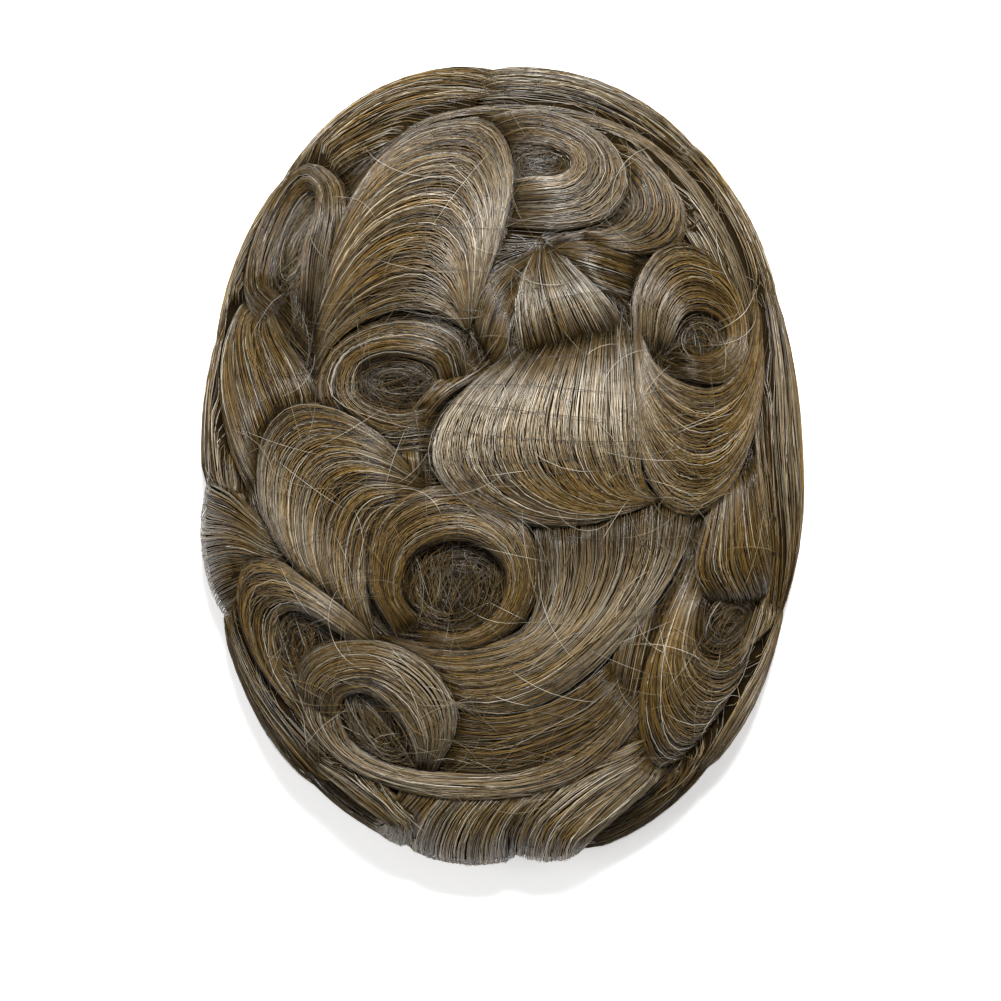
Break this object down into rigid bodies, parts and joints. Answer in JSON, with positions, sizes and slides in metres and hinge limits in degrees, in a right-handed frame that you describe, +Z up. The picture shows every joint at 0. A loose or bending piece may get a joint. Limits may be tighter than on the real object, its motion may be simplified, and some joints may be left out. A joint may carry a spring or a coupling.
{
  "type": "toupee hairpiece",
  "caption": "Men's hairpiece: thin domed base covered with combed, curled locks of grey-brown hair, resting on its rim.",
  "frame": {"origin": "under the middle of the piece, on the surface that the base's rim rests on", "axes": "+X towards the wearer's left, +Y towards the crown, -Y the front hairline, +Z up"},
  "size_m": [0.1981, 0.2615, 0.0733],
  "materials": {
    "base_film": "thin beige skin film, satin",
    "under_hair": "combed-down dark brown hair",
    "hair": "light to medium brown hair with about 30% grey, combed, soft sheen"
  },
  "bodies": {
    "root": {"base_cap": "base_film", "hair_bed": "under_hair", "central_roll": "hair", "right_arch_curl": "hair", "right_arcs": "hair", "front_ring_curl": "hair", "crown_left_wave": "hair", "front_left_ring": "hair", "front_band_low": "hair", "hook_curl": "hair", "front_band_high": "hair", "left_wave": "hair", "temple_curl": "hair", "crown_right_curl": "hair", "crest_hook": "hair", "crest_sweep": "hair", "eye_curl": "hair", "roll_root_tuft": "hair", "roll_eye": "hair", "right_side_fall": "hair", "right_drop": "hair", "lower_right_scallop": "hair", "left_side_fall": "hair", "left_edge_roll": "hair", "top_left_rim": "hair", "left_bottom_rim": "hair", "front_left_pin_curl": "hair", "front_rim_right": "hair", "front_rim_left": "hair", "front_right_roll": "hair", "lower_right_edge": "hair", "left_rim_upper": "hair", "left_edge_sliver": "hair", "top_right_rim": "hair", "right_rim_upper": "hair", "whorl_front_fan": "hair", "whorl_right_fan": "hair", "whorl_left_fan": "hair", "under_sweep": "hair", "gap_tuft": "hair"}
  },
  "joints": []
}
